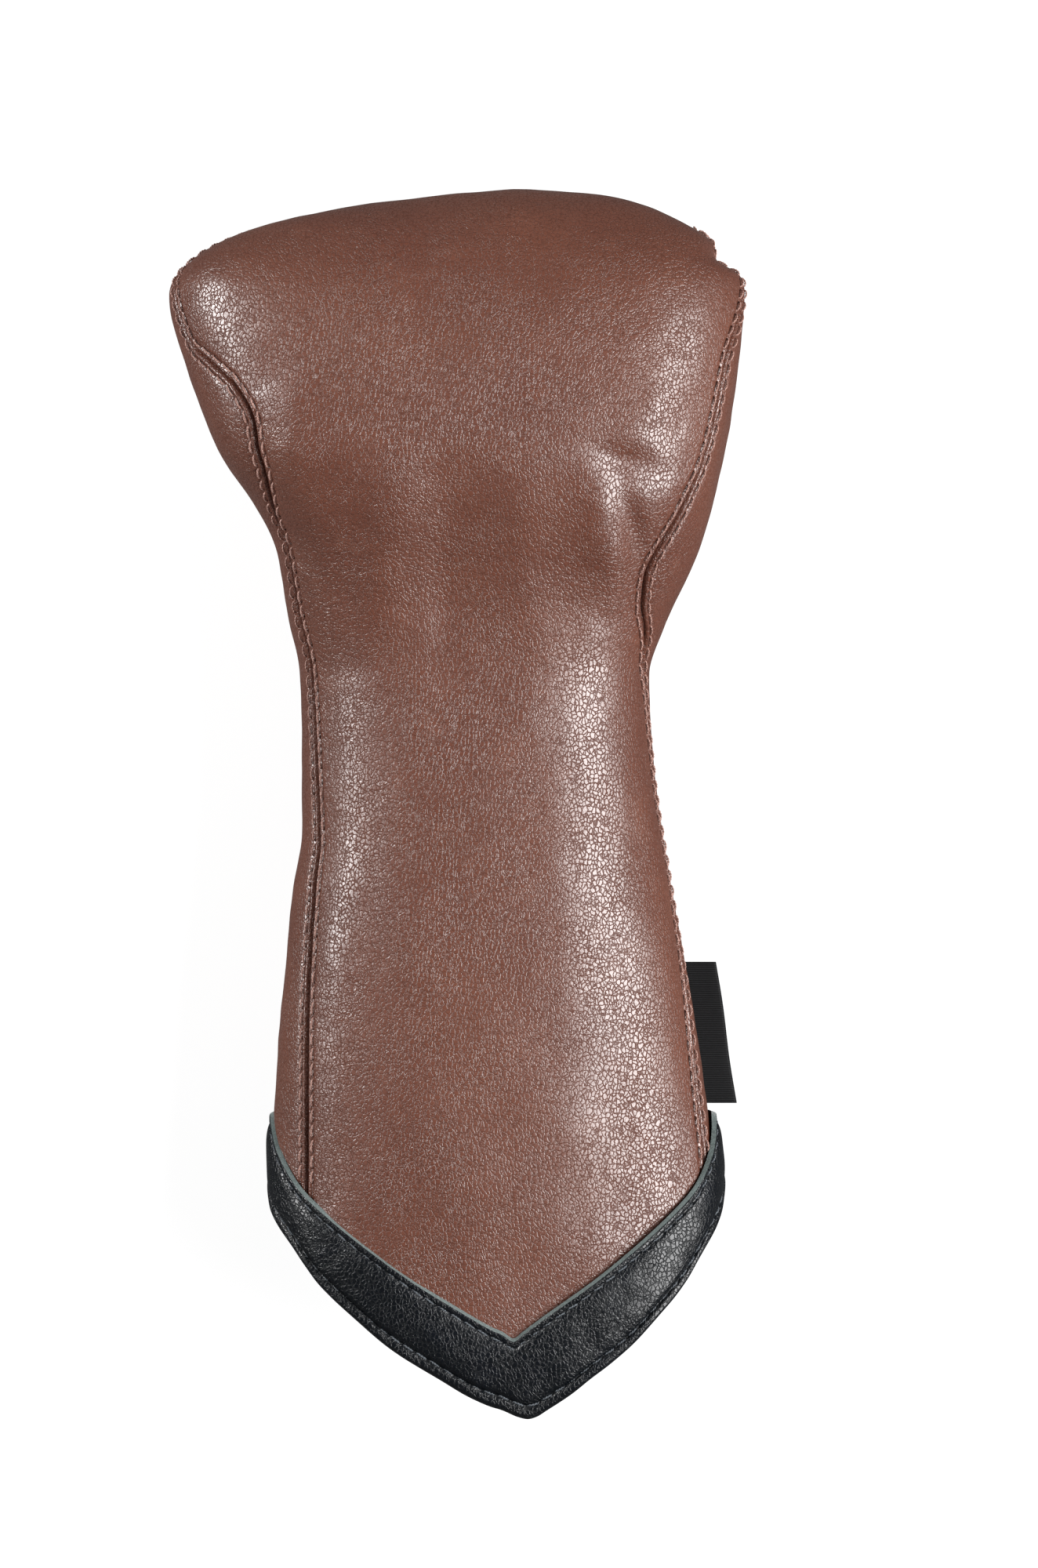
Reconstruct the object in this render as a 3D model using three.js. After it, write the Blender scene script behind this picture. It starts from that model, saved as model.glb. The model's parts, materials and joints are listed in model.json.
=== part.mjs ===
// Golf driver head cover in leather, lying on its back. Millimetres: +X across the cover, +Y from the
// mouth to the crown, +Z up from the table to the front panel. The table is z = 0.
import * as THREE from 'three';
import { mergeVertices } from 'three/addons/utils/BufferGeometryUtils.js';

// ---- Driving dimensions ----------------------------------------------------------------------------
const crownTop = 167.8;          // highest point of the crown
const widest = 139;              // height at which the crown is widest
const deepest = 109;             // height at which the bulb is deepest
const halfCrown = 79.1;          // half the width there
const crownLean = 22;            // how far the top of the crown stands to the right of the middle
const gussetTop = 157;           // height at which the side gussets end
const sideHem = -104;            // bottom edge of the leather at the two sides and the back
const gap = 0.3;                 // clearance between pieces that touch
const leatherThickness = 1.5;
const leather = { depth: 0, thickness: leatherThickness, from: sideHem, aboveHem: 1.2, margin: gap / 2 };
const tape = { depth: 2.6, thickness: 0.6, width: 6 };
const padding = { depth: 3.6, thickness: 1.8, from: 45, aboveHem: 0, margin: 1.2 };
const lining = { depth: 6.3, thickness: 1.4, from: sideHem, aboveHem: 6, margin: 0.6 };
const elastic = { depth: 3.6, thickness: 1.2, from: -6, to: 28 };
const trim = { thickness: 1.4, rise: 19, facing: 13, turn: 2, facingGap: 0.8 };
const thread = { radius: 0.42, rowDistance: 2.1 };
const tab = { from: -84, to: -44.5, reach: 15.6, ribbon: 0.5, slot: 0.6, clearance: 1.2 };

// ---- Curves through a few points -------------------------------------------------------------------
// A smooth curve through [at, value] pairs that never swings past them.
function through(points) {
  const slopes = points.map((point, i) => {
    if (i === 0 || i === points.length - 1) return 0;
    const before = (point[1] - points[i - 1][1]) / (point[0] - points[i - 1][0]);
    const after = (points[i + 1][1] - point[1]) / (points[i + 1][0] - point[0]);
    return before * after <= 0 ? 0 : (2 * before * after) / (before + after);
  });
  return (at) => {
    if (at <= points[0][0]) return points[0][1];
    const last = points.length - 1;
    if (at >= points[last][0]) return points[last][1];
    const i = points.findIndex((point) => point[0] > at) - 1;
    const span = points[i + 1][0] - points[i][0];
    const t = (at - points[i][0]) / span;
    const rise = points[i + 1][1] - points[i][1];
    const ease = t * t * (3 - 2 * t);
    const start = slopes[i] * span * t * (1 - t) * (1 - t);
    const end = slopes[i + 1] * span * t * t * (1 - t);
    return points[i][1] + rise * ease + start - end;
  };
}

// Left and right edges of the cover against height: hem, skirt, waist, bulb.
const leftEdge = through([
  [-168, -53], [-108, -51.5], [-60, -49.6], [-22, -45.8], [-8, -43.9], [36, -44.4], [52, -47.2],
  [70, -49.6], [80, -54], [97, -65.8], [119, -74.4], [widest, -halfCrown],
]);
const rightEdge = through([
  [-168, 74], [-108, 72.3], [-60, 65.6], [-22, 59.2], [10, 54.4], [36, 52.6], [49, 56.7],
  [70, 65.6], [86, 70.7], [119, 77.4], [widest, halfCrown],
]);
// Heights over the table of the front line, of the widest line and of the back line.
const frontHeight = through([
  [-200, 52], [-108, 60.5], [-60, 62], [-10, 61], [20, 61.2], [36, 61.8], [50, 64.8], [62, 69.5],
  [72, 74.5], [84, 80.1], [96, 83.3], [deepest, 84],
]);
const sideHeight = through([[-168, 31], [-60, 31], [0, 30], [24, 30.5], [60, 38], [90, 45], [deepest, 46]]);
const backHeight = through([[-110, 3], [-60, 2.8], [0, 4.8], [30, 5], [60, 3], [90, 0], [deepest, -1.2]]);
// How boxy the level section is against height: 2 is an oval.
const squareness = through([[20, 2.35], [95, 3]]);

// Angle from the side of the cover to each gusset seam, in degrees, against height.
const seamAngle = {
  leftFront: through([
    [-168, 36], [-90, 34.6], [0, 28], [35, 25], [75, 20.5], [92, 37], [105, 43], [113, 39.5],
    [119, 31], [124.5, 21], [132, 18], [141, 14], [149, 6], [gussetTop, 0],
  ]),
  rightFront: through([
    [-168, 22], [-84, 20], [-38, 9.5], [-16, 6.5], [12, 8], [29, 10.5], [42, 19], [54, 36],
    [64, 42], [79, 35], [95, 27], [119, 24], [135, 13], [143, 7], [149, 4], [gussetTop, 0],
  ]),
  leftBack: through([[-108, 26], [0, 23], [60, 28], [105, 36], [132, 25], [146, 14], [gussetTop, 0]]),
  rightBack: through([[-108, 33], [0, 32], [60, 40], [105, 43], [132, 28], [146, 15], [gussetTop, 0]]),
};

// ---- The outer surface -----------------------------------------------------------------------------
function signedPower(value, power) {
  return Math.sign(value) * Math.abs(value) ** power;
}

// The level cut through the cover at height y.
function section(y) {
  if (y <= deepest) {
    const [left, right] = [leftEdge(y), rightEdge(y)];
    const middle = sideHeight(y);
    return {
      centre: (left + right) / 2, halfWidth: (right - left) / 2, middle,
      front: frontHeight(y) - middle, back: middle - backHeight(y),
    };
  }
  const rise = Math.min((y - deepest) / (crownTop - deepest), 1);
  const depth = Math.sqrt(1 - rise * rise);
  const middle = sideHeight(deepest);
  const arch = Math.sqrt(Math.max(0, 1 - Math.max(0, (y - widest) / (crownTop - widest)) ** 2));
  const [left, right] = [leftEdge(y), rightEdge(y)];
  return {
    centre: (left + right) / 2 + crownLean * (1 - arch), halfWidth: ((right - left) / 2) * arch, middle,
    front: (frontHeight(deepest) - middle) * depth, back: (middle - backHeight(deepest)) * depth,
  };
}

// A point of the outer surface: turn goes round the cover from its right side over the front.
function surface(y, turn) {
  const cut = section(y);
  const across = signedPower(Math.cos(turn), 2 / squareness(y));
  const up = signedPower(Math.sin(turn), 2 / squareness(y));
  const z = cut.middle + (up > 0 ? cut.front : cut.back) * up;
  return new THREE.Vector3(cut.centre + cut.halfWidth * across, y, Math.max(z, 0));
}

// How far a point lies out of the section at its height: 1 on the surface.
function fullness(x, y, z) {
  const cut = section(y);
  const across = Math.abs(x - cut.centre) / cut.halfWidth;
  const up = z > cut.middle ? (z - cut.middle) / cut.front : (cut.middle - z) / cut.back;
  return across ** squareness(y) + up ** squareness(y);
}

function outward(point) {
  if (point.z <= 0) return new THREE.Vector3(0, 0, -1);
  const { x, y, z } = point;
  if (crownTop - y < 0.02) return new THREE.Vector3(0, 1, 0);
  const step = Math.min(0.05, (crownTop - y) * 0.3);
  const along = (dx, dy, dz) => fullness(x + dx, y + dy, z + dz) - fullness(x - dx, y - dy, z - dz);
  return new THREE.Vector3(along(step, 0, 0), along(0, step, 0), along(0, 0, step)).normalize();
}

// A point at a depth under the outer surface; a negative depth stands outside it.
function under(y, turn, depth) {
  const point = surface(y, turn);
  return point.addScaledVector(outward(point), -depth);
}

// The turn at which a point beside the surface lies.
function turnOf(point) {
  const cut = section(point.y);
  const across = (point.x - cut.centre) / cut.halfWidth;
  const up = (point.z - cut.middle) / (point.z > cut.middle ? cut.front : cut.back);
  const power = squareness(point.y) / 2;
  return Math.atan2(signedPower(up, power), signedPower(across, power));
}

// ---- The hem ---------------------------------------------------------------------------------------
// The front hem hangs in a rounded point: how far down it has come, against the way from tip to side.
const hemFall = through([
  [0, 1], [0.014, 0.99], [0.04, 0.963], [0.104, 0.904], [0.17, 0.828], [0.3, 0.694], [0.425, 0.546], [0.552, 0.412],
  [0.677, 0.267], [0.855, 0.125], [1, 0],
]);
const hemTip = { turn: THREE.MathUtils.degToRad(84.5), drop: 61.9 };
// The trim's upper edge hangs in a sharper point of its own.
const edgeFall = through([
  [0, 1], [0.02, 0.97], [0.082, 0.885], [0.21, 0.742], [0.36, 0.583], [0.5, 0.45], [0.64, 0.33],
  [0.8, 0.172], [1, 0],
]);
const edgeTip = { turn: THREE.MathUtils.degToRad(87.3), drop: 60.3 };

// 0 at the tip of an edge, 1 at its sides and round the back.
function wayFrom(tip, turn) {
  const round = Math.atan2(Math.sin(turn), Math.cos(turn));
  if (round <= 0) return 1;
  return round < tip.turn ? (tip.turn - round) / tip.turn : (round - tip.turn) / (Math.PI - tip.turn);
}

function hemAt(turn) {
  return sideHem - hemTip.drop * hemFall(wayFrom(hemTip, turn));
}

// How much taller than at the sides the trim is, its upper edge being a sharper point.
function trimExtra(turn) {
  return sideHem - edgeTip.drop * edgeFall(wayFrom(edgeTip, turn)) - hemAt(turn);
}

// Rows of a panel follow the hem at the bottom and run level from the skirt up.
const levelFrom = -30;
function rowHeight(y, turn) {
  const share = THREE.MathUtils.clamp((levelFrom - y) / (levelFrom - sideHem), 0, 1);
  return y + (hemAt(turn) - sideHem) * share ** 1.3;
}

// ---- Solids from grids of points -------------------------------------------------------------------
function meshFrom(name, positions, triangles, material) {
  let geometry = new THREE.BufferGeometry();
  geometry.setAttribute('position', new THREE.Float32BufferAttribute(positions, 3));
  geometry.setIndex(triangles);
  geometry = mergeVertices(geometry, 1e-3);
  const index = geometry.index.array;
  const kept = [];
  for (let i = 0; i < index.length; i += 3) {
    const [a, b, c] = [index[i], index[i + 1], index[i + 2]];
    if (a !== b && b !== c && c !== a) kept.push(a, b, c);
  }
  geometry.setIndex(kept);
  geometry.computeVertexNormals();
  const mesh = new THREE.Mesh(geometry, material.clone());
  mesh.name = name;
  return mesh;
}

// A wall of cloth or leather: the outer and inner grids of points, joined round their edges.
function wallSolid(name, rows, columns, outer, inner, material) {
  const positions = [];
  const triangles = [];
  const at = (layer, i, j) => layer * (rows + 1) * (columns + 1) + i * (columns + 1) + j;
  for (const layer of [outer, inner]) {
    for (let i = 0; i <= rows; i += 1) {
      for (let j = 0; j <= columns; j += 1) positions.push(...layer(i, j).toArray());
    }
  }
  const quad = (a, b, c, d) => triangles.push(a, c, b, a, d, c);
  for (let i = 0; i < rows; i += 1) {
    for (let j = 0; j < columns; j += 1) {
      quad(at(0, i, j), at(0, i, j + 1), at(0, i + 1, j + 1), at(0, i + 1, j));
      quad(at(1, i, j), at(1, i + 1, j), at(1, i + 1, j + 1), at(1, i, j + 1));
    }
    quad(at(0, i, 0), at(0, i + 1, 0), at(1, i + 1, 0), at(1, i, 0));
    quad(at(0, i, columns), at(1, i, columns), at(1, i + 1, columns), at(0, i + 1, columns));
  }
  for (let j = 0; j < columns; j += 1) {
    quad(at(0, 0, j), at(1, 0, j), at(1, 0, j + 1), at(0, 0, j + 1));
    quad(at(0, rows, j), at(0, rows, j + 1), at(1, rows, j + 1), at(1, rows, j));
  }
  return meshFrom(name, positions, triangles, material);
}

// A closed outline of points carried along stations; the ends are capped unless it closes on itself.
function sweptSolid(name, stations, closed, material) {
  const around = stations[0].length;
  const positions = stations.flatMap((ring) => ring.flatMap((point) => point.toArray()));
  const triangles = [];
  const count = closed ? stations.length : stations.length - 1;
  for (let i = 0; i < count; i += 1) {
    const next = ((i + 1) % stations.length) * around;
    for (let j = 0; j < around; j += 1) {
      const k = (j + 1) % around;
      triangles.push(i * around + j, i * around + k, next + k, i * around + j, next + k, next + j);
    }
  }
  if (!closed) {
    const outline = stations[0].map((point, j) => capPlan(stations[0], j));
    const cap = THREE.ShapeUtils.triangulateShape(outline, []);
    const clockwise = THREE.ShapeUtils.isClockWise(outline);
    const end = (stations.length - 1) * around;
    for (const [a, b, c] of cap) {
      const [p, q] = clockwise ? [b, c] : [c, b];
      triangles.push(a, p, q, end + a, end + q, end + p);
    }
  }
  return meshFrom(name, positions, triangles, material);
}

// The flat plan of an end ring, seen along the sweep.
function capPlan(ring, j) {
  const origin = ring[0];
  const first = ring[1].clone().sub(origin).normalize();
  let normal = new THREE.Vector3();
  for (let i = 1; i < ring.length - 1; i += 1) {
    const a = ring[i].clone().sub(origin);
    const b = ring[i + 1].clone().sub(origin);
    normal.add(a.cross(b));
  }
  normal = normal.normalize();
  const second = normal.clone().cross(first);
  const offset = ring[j].clone().sub(origin);
  return new THREE.Vector2(offset.dot(first), offset.dot(second));
}

// ---- Materials -------------------------------------------------------------------------------------
function material(colour, roughness) {
  return new THREE.MeshStandardMaterial({ color: colour, roughness, metalness: 0 });
}
const brownLeather = material(0x7a5044, 0.42);
const blackLeather = material(0x202329, 0.4);
const tanThread = material(0xa58478, 0.6);
const blackThread = material(0x2a2d33, 0.6);
const blackRibbon = material(0x1c1c1d, 0.65);
const fleece = material(0x3c3a38, 0.95);
const foam = material(0xd8d2c4, 0.9);
const elasticWeb = material(0xc9c6c0, 0.85);
const seamTape = material(0x8a8078, 0.85);

// ---- Panels ----------------------------------------------------------------------------------------
function spaced(from, to, count) {
  return Array.from({ length: count + 1 }, (_, i) => from + ((to - from) * i) / count);
}

// Row heights from the hem to the gusset top, closer together where the cover curves.
function panelRows(from, top, steps) {
  const heights = [];
  const marks = [from, -10, 35, 80, 122, top];
  const first = marks.findIndex((mark) => mark > from);
  let start = from;
  marks.slice(first).forEach((mark, i) => {
    const count = steps[first - 1 + i];
    const round = mark === top;
    spaced(0, 1, count).slice(heights.length ? 1 : 0).forEach((t) => {
      heights.push(start + (mark - start) * (round ? Math.sin((t * Math.PI) / 2) : t));
    });
    start = mark;
  });
  return heights;
}

// The turns between which a panel runs at height y, drawn back from its seams by a margin.
function panelTurns(panel, y, margin) {
  const angle = (seam) => THREE.MathUtils.degToRad(seamAngle[seam](y));
  const ends = {
    front: [angle('rightFront'), Math.PI - angle('leftFront')],
    left: [Math.PI - angle('leftFront'), Math.PI + angle('leftBack')],
    back: [Math.PI + angle('leftBack'), 2 * Math.PI - angle('rightBack')],
    right: [-angle('rightBack'), angle('rightFront')],
  }[panel];
  const gussetWidth = ends[1] - ends[0];
  return ends.map((turn, side) => {
    const near = surface(y, turn - 0.01).distanceTo(surface(y, turn + 0.01)) / 0.02;
    const back = Math.min(margin / near, gussetWidth * 0.45);
    return turn + (side === 0 ? back : -back);
  });
}

// A panel between two seams, from the hem or a given height up to the gusset top.
function panelPoint(panel, heights, columns, depth, layer) {
  return (i, j) => {
    const y = heights[i];
    const [start, end] = panelTurns(panel, y, layer.margin);
    const turn = start + ((end - start) * j) / columns;
    const raised = rowHeight(y, turn) + layer.aboveHem * (1 - i / (heights.length - 1));
    return under(raised, turn, depth);
  };
}

function panel(name, which, layer, columns, steps, look) {
  const top = gussetTop - (which === 'front' ? 0 : 2 * layer.margin);
  const heights = panelRows(layer.from, top, steps);
  const outer = panelPoint(which, heights, columns, layer.depth, layer);
  const inner = panelPoint(which, heights, columns, layer.depth + layer.thickness, layer);
  if (which !== 'front') {
    return wallSolid(name, heights.length - 1, columns, outer, inner, look);
  }
  const over = (depth, below) => (i, j) => (
    i < heights.length ? below(i, j) : crownPoint(i - heights.length + 1, j, columns, depth)
  );
  const rows = heights.length - 1 + crownRows;
  return wallSolid(
    name, rows, columns, over(layer.depth, outer), over(layer.depth + layer.thickness, inner), look,
  );
}

// The front panel goes on over the crown: its columns cross the cap from front to back.
const crownRows = 12;
const crownArch = Math.sqrt(1 - ((gussetTop - widest) / (crownTop - widest)) ** 2);
function crownPoint(row, column, columns, depth) {
  const across = Math.cos((Math.PI * column) / columns);
  const forward = Math.sqrt(Math.max(0, 1 - across * across)) * Math.cos((Math.PI * row) / crownRows);
  const reach = Math.min(1, Math.hypot(across, forward));
  const arch = reach * crownArch;
  const y = widest + (crownTop - widest) * Math.sqrt(1 - arch * arch);
  return under(y, Math.atan2(forward, across), depth);
}

const cover = new THREE.Group();
cover.name = 'head_cover';

const fine = [6, 4, 5, 5, 7];
const coarse = [5, 4, 4, 4, 4];
const shell = [['front', 16], ['back', 12], ['left', 6], ['right', 6]];
const panelNames = { front: 'front_panel', back: 'back_panel', left: 'left_gusset', right: 'right_gusset' };
for (const [which, columns] of shell) {
  const inside = Math.round(columns * 0.75);
  cover.add(panel(panelNames[which], which, leather, columns, fine, brownLeather));
  cover.add(panel(`padding_${which}`, which, padding, inside, coarse, foam));
  cover.add(panel(`lining_${which}`, which, lining, inside, coarse, fleece));
}

// ---- Seams: tapes inside and rows of thread outside ------------------------------------------------
// A seam's line from the front hem over the top of the gusset to the back hem.
function seamLine(side, startAbove) {
  const sign = side === 'left' ? 1 : -1;
  const base = side === 'left' ? Math.PI : 0;
  const turnAt = (y, face) => {
    const angle = THREE.MathUtils.degToRad(seamAngle[side + face](y));
    return base - sign * angle * (face === 'Front' ? 1 : -1);
  };
  const heights = panelRows(sideHem, gussetTop, [7, 5, 7, 7, 7]);
  const up = heights.map((y) => {
    const turn = turnAt(y, 'Front');
    return surface(rowHeight(y, turn), turn);
  });
  const down = heights.slice(0, -1).reverse().map((y) => surface(y, turnAt(y, 'Back')));
  const hemFront = hemAt(turnAt(sideHem, 'Front')) + startAbove;
  return [...up.filter((point) => point.y >= hemFront), ...down.filter((point) => point.y >= sideHem + startAbove)];
}

// The same line moved sideways over the surface; a positive shift goes onto the gusset.
function shifted(line, side, shift) {
  const sign = side === 'left' ? -1 : 1;
  return line.map((point, i) => {
    const before = line[Math.max(0, i - 1)];
    const after = line[Math.min(line.length - 1, i + 1)];
    const along = after.clone().sub(before).normalize();
    const across = along.clone().cross(outward(point)).normalize();
    return point.clone().addScaledVector(across, shift * sign);
  });
}

function onWall(point, depth) {
  return under(point.y, turnOf(point), depth);
}

// A thread that lies along a line just outside the surface.
function threadAlong(name, line, height, closed, look) {
  const stations = line.map((point, i) => {
    const before = closed ? line[(i + line.length - 1) % line.length] : line[Math.max(0, i - 1)];
    const after = closed ? line[(i + 1) % line.length] : line[Math.min(line.length - 1, i + 1)];
    const centre = onWall(point, -height);
    const up = outward(surface(point.y, turnOf(point)));
    const along = after.clone().sub(before).normalize();
    const across = along.cross(up).normalize();
    return [0, 1, 2, 3].map((corner) => {
      const angle = (corner * Math.PI) / 2;
      return centre.clone()
        .addScaledVector(up, thread.radius * Math.cos(angle))
        .addScaledVector(across, thread.radius * Math.sin(angle));
    });
  });
  return sweptSolid(name, stations, closed, look);
}

const threadHeight = thread.radius + gap;
for (const side of ['left', 'right']) {
  const full = seamLine(side, trim.rise + 1.5);
  for (const [row, shift] of [['panel_row', -thread.rowDistance], ['gusset_row', thread.rowDistance]]) {
    const line = shifted(full, side, shift);
    cover.add(threadAlong(`${side}_${row}`, line, threadHeight, false, tanThread));
  }
  const inside = seamLine(side, trim.facing + 5);
  const across = [-0.5, 0, 0.5].map((share) => shifted(inside, side, share * tape.width));
  const order = side === 'left' ? (j) => j : (j) => 2 - j;
  const at = (depth) => (i, j) => onWall(across[order(j)][i], depth);
  cover.add(wallSolid(
    `${side}_seam_tape`, inside.length - 1, 2, at(tape.depth), at(tape.depth + tape.thickness), seamTape,
  ));
}

// ---- Cross seam at the back of the crown -----------------------------------------------------------
for (const [name, y] of [['crown_row_upper', gussetTop + 2.2], ['crown_row_lower', gussetTop - 2.4]]) {
  const [start, end] = panelTurns('back', Math.min(y, gussetTop - 1), 5);
  const line = spaced(start, end, 20).map((turn) => surface(y, turn));
  cover.add(threadAlong(name, line, threadHeight, false, tanThread));
}

// ---- Waist elastic ---------------------------------------------------------------------------------
// A band right round the cover: an outline of [depth, height] carried round it.
function band(name, outline, from, to, count, heightAt, look) {
  const closed = to - from > 2 * Math.PI - 1e-6;
  const turns = spaced(from, to, count).slice(0, closed ? count : count + 1);
  const stations = turns.map((turn) => (
    outline.map(([depth, rise]) => under(heightAt(turn, rise), turn, depth))
  ));
  return sweptSolid(name, stations, closed, look);
}

const elasticOutline = [
  [elastic.depth, elastic.from], [elastic.depth, (elastic.from + elastic.to) / 2],
  [elastic.depth, elastic.to], [elastic.depth + elastic.thickness, elastic.to],
  [elastic.depth + elastic.thickness, (elastic.from + elastic.to) / 2],
  [elastic.depth + elastic.thickness, elastic.from],
];
cover.add(band('waist_elastic', elasticOutline, 0, 2 * Math.PI, 44, (turn, rise) => rise, elasticWeb));

// ---- Black trim that binds the hem -----------------------------------------------------------------
const trimOutside = -gap - trim.thickness;
const facingOutside = leatherThickness + trim.facingGap;
const facingInside = facingOutside + trim.thickness;
const trimOutline = [
  [-gap, trim.rise / 2], [-gap, -gap], [facingOutside, -gap],
  [facingOutside, trim.facing], [facingInside, trim.facing], [facingInside, 0],
  [facingInside * 0.85, -trim.turn + 0.5], [leatherThickness / 2, -trim.turn],
  [trimOutside * 0.5, -trim.turn + 0.5], [trimOutside, 0], [trimOutside, trim.rise / 2],
  [trimOutside, trim.rise], [-gap, trim.rise],
];
const trimEnd = gap / 100;

// Heights in the trim over the hem: only what lies above its facing follows the sharper upper edge.
function trimHeight(turn, rise) {
  return hemAt(turn) + rise + (rise > trim.facing ? trimExtra(turn) : 0);
}

for (const [name, from, to, count] of [
  ['hem_trim_front', trimEnd, Math.PI - trimEnd, 34],
  ['hem_trim_back', Math.PI + trimEnd, 2 * Math.PI - trimEnd, 22],
]) {
  cover.add(band(name, trimOutline, from, to, count, trimHeight, blackLeather));
}
for (const [name, rise] of [['trim_row_upper', trim.rise - 2.6], ['trim_row_lower', 2.1]]) {
  const turns = spaced(0, 2 * Math.PI, 52).slice(0, -1);
  const line = turns.map((turn) => surface(trimHeight(turn, rise), turn));
  cover.add(threadAlong(name, line, threadHeight - trimOutside, true, blackThread));
}

// ---- Ribbon tab in the right back seam -------------------------------------------------------------
// A ribbon folded in two round a slot; its open edges meet the seam.
function ribbonTab() {
  const ends = [tab.from, tab.to].map((y) => {
    const turn = -THREE.MathUtils.degToRad(seamAngle.rightBack(y));
    return under(y, turn, -tab.clearance);
  });
  const half = tab.slot / 2;
  const face = half + tab.ribbon;
  const straight = tab.reach - face;
  const rounded = (radius) => [[straight, radius], [straight + radius * 0.7, radius * 0.7], [straight + radius, 0]];
  const upper = (radius) => [[0, radius], ...rounded(radius)];
  const mirrored = (points) => points.slice(0, -1).reverse().map(([x, z]) => [x, -z]);
  const loop = (radius) => [...upper(radius), ...mirrored(upper(radius))];
  const outline = [...loop(face), ...loop(half).reverse()];
  const stations = [0, 0.5, 1].map((share) => {
    const root = ends[0].clone().lerp(ends[1], share);
    return outline.map(([x, z]) => new THREE.Vector3(root.x + x, root.y, root.z + z));
  });
  return sweptSolid('label_tab', stations, false, blackRibbon);
}
cover.add(ribbonTab());

export default cover;
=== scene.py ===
"""A leather golf driver head cover lying on its back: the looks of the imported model.

Lengths in the pattern are millimetres, as the part's are: X across, Y from mouth to crown, Z up from the
table. MM turns them into the frame's metres.
"""
import json
import math

import bpy
import numpy as np
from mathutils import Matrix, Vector, kdtree


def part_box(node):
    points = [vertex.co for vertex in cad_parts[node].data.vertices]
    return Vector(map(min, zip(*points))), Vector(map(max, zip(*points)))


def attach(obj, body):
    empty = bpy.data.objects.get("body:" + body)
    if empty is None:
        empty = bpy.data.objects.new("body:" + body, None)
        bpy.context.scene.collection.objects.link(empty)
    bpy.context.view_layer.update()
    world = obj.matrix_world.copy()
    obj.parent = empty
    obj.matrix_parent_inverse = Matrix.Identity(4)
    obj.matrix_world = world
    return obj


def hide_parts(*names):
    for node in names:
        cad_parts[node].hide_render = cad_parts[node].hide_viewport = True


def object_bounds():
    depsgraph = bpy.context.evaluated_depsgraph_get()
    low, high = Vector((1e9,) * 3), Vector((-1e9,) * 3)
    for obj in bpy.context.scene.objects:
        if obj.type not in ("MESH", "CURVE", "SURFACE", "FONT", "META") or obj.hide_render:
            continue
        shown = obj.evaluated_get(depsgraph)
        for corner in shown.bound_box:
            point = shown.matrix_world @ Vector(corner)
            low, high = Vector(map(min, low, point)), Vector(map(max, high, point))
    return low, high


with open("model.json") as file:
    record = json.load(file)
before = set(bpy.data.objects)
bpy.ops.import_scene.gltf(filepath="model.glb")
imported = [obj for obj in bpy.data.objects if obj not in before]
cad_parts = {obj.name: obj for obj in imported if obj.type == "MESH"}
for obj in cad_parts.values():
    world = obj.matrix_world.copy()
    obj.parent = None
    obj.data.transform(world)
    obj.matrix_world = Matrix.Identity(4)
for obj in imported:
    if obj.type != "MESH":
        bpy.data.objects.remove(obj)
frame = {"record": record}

CAD_LOW, CAD_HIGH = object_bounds()

# ---- The pattern's dimensions ----------------------------------------------------------------------
LENGTH = 335.6  # from the tip of the hem to the crown
MM = (CAD_HIGH[1] - CAD_LOW[1]) / LENGTH
CROWN_TOP = LENGTH / 2
WIDEST = 139.0  # height at which the crown is widest
DEEPEST = 109.0  # height at which the bulb is deepest
HALF_CROWN = 79.1
CROWN_LEAN = 22.0  # how far the top of the crown stands to the right
GUSSET_TOP = 157.0
SIDE_HEM = -104.0
STITCH = 4.2  # length of one stitch with its hole
ROW_OFFSET = 2.1  # a stitch row's distance from its seam
ROW_SINK = 0.12  # how far a seam's stitches lie sunk in the leather
STITCH_GAP = 0.32  # what each end of a stitch stops short of its hole's middle
THREAD = 0.18  # radius of one ply
PLIES = 2
LEATHER = 1.3
TUCK_HEIGHT = 148.5  # where the sharp tuck meets the right shoulder
TUCK_DEPTH = 4.6
TRIM_TOP = 18.2  # rise of the trim's upper edge over the leather's hem
TRIM_LOWER_ROW = (2.1, 0.95)  # rise over the hem, height over the leather
TRIM_UPPER_ROW = (16.2, 1.12)


def through(points):
    """A smooth curve through (at, value) points that never swings past them."""
    at, value = np.array(points, float).T
    step = np.diff(at)
    rise = np.diff(value) / step
    slope = np.zeros(len(at))
    steady = np.nonzero(rise[:-1] * rise[1:] > 0)[0]
    slope[steady + 1] = 2 * rise[steady] * rise[steady + 1] / (rise[steady] + rise[steady + 1])

    def curve(x):
        x = np.clip(x, at[0], at[-1])
        i = np.clip(np.searchsorted(at, x, side="right") - 1, 0, len(step) - 1)
        t = (x - at[i]) / step[i]
        ease = t * t * (3 - 2 * t)
        start = slope[i] * step[i] * t * (1 - t) ** 2
        end = slope[i + 1] * step[i] * t * t * (1 - t)
        return value[i] + (value[i + 1] - value[i]) * ease + start - end

    return curve


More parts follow.
